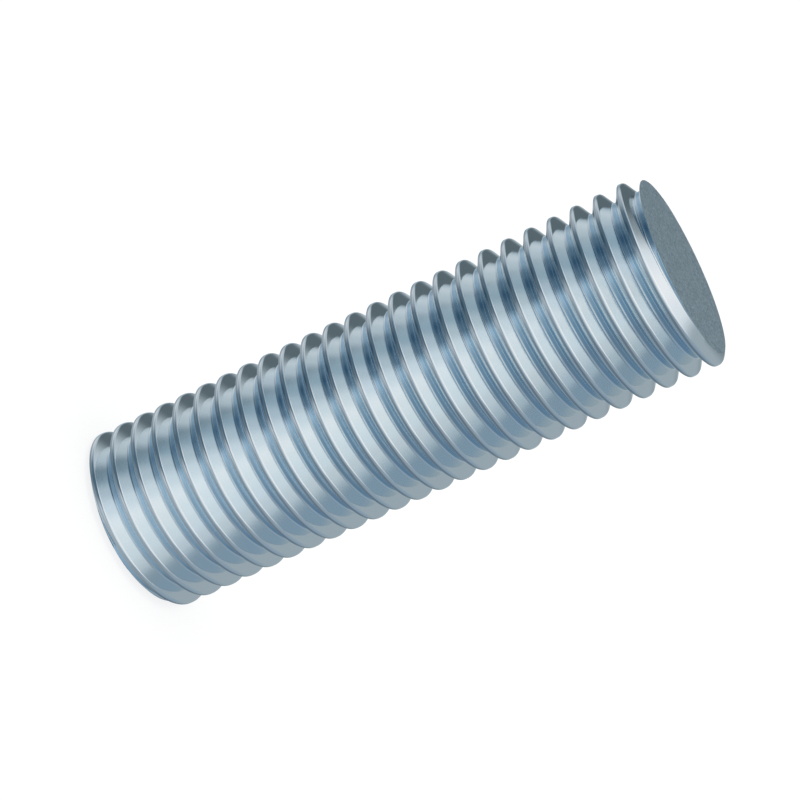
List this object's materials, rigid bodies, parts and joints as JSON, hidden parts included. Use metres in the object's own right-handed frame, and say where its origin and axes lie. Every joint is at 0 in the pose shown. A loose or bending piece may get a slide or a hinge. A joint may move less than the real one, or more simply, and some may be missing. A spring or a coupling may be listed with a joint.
{
  "type": "threaded stud",
  "caption": "Fully threaded steel stud: a short length of metric rod with a rolled right-hand thread from end to end and two plain saw-cut ends, bright bluish zinc plating.",
  "frame": {"origin": "centre of the lower cut end, on the axis, at the lowest point", "axes": "+Z along the axis, from the lower cut end to the upper one; the thread is right-hand about it, and +X is a plain reference direction across the axis"},
  "size_m": [0.0158, 0.0158, 0.05],
  "materials": {
    "zinc_plated_steel": "bright bluish zinc plating, glossy on the thread and finely sawn on the ends"
  },
  "bodies": {
    "root": {"threaded_stud": "zinc_plated_steel"}
  },
  "joints": []
}
